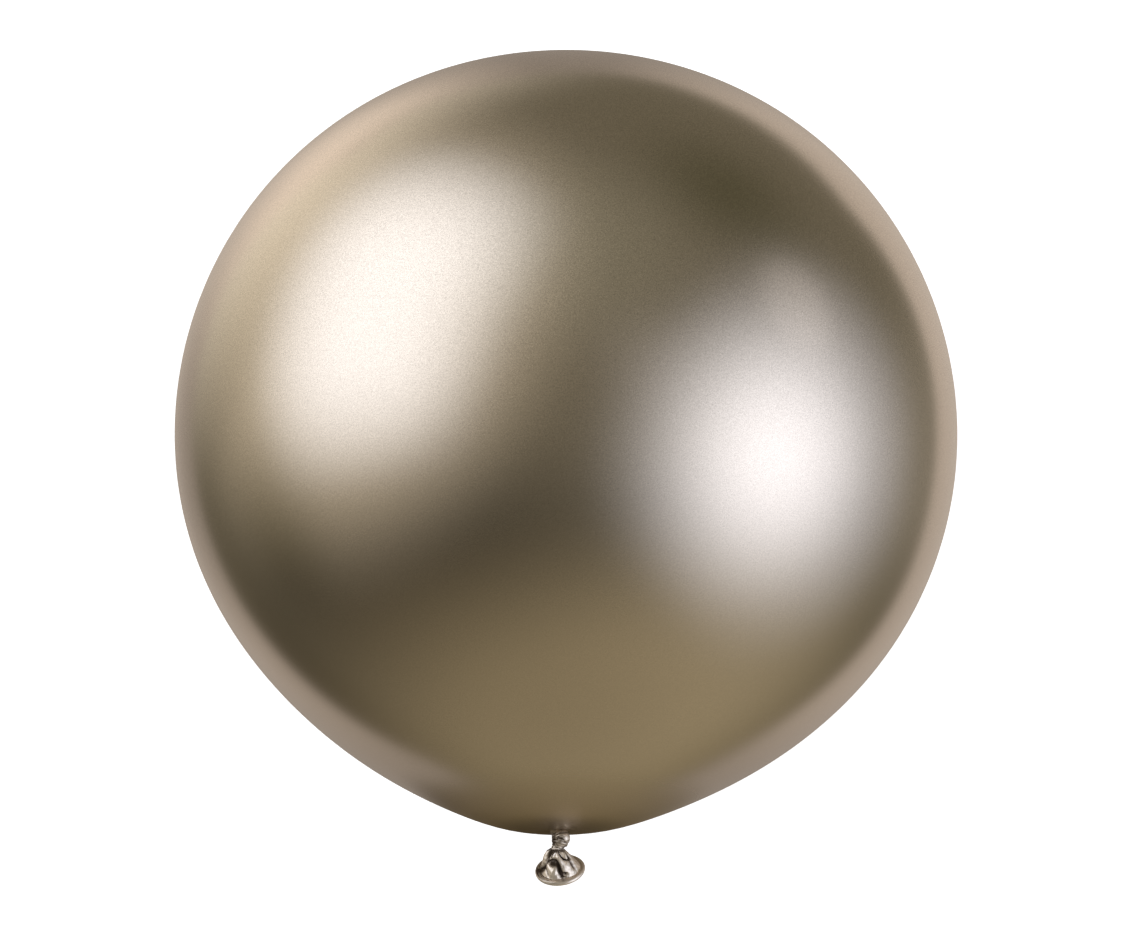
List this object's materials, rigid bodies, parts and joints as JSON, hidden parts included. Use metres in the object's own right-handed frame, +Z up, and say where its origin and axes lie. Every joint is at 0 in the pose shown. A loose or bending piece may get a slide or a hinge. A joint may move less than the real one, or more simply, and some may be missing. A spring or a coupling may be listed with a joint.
{
  "type": "giant latex balloon",
  "caption": "Giant round metallic latex balloon, blown up and tied in its own neck, with a pleated open tail and a rolled rim.",
  "frame": {"origin": "middle of the small flat spot on the floor, straight below the middle of the blown-up body", "axes": "+Z up from the floor; -Y along the neck towards the knot and the mouth; +Y towards the crown; +X to the right when the mouth faces the viewer's feet"},
  "size_m": [0.8003, 0.8545, 0.7963],
  "materials": {
    "latex": "champagne-gold metallic latex, satin with a soft mirror sheen"
  },
  "bodies": {
    "root": {"balloon": "latex"}
  },
  "joints": []
}
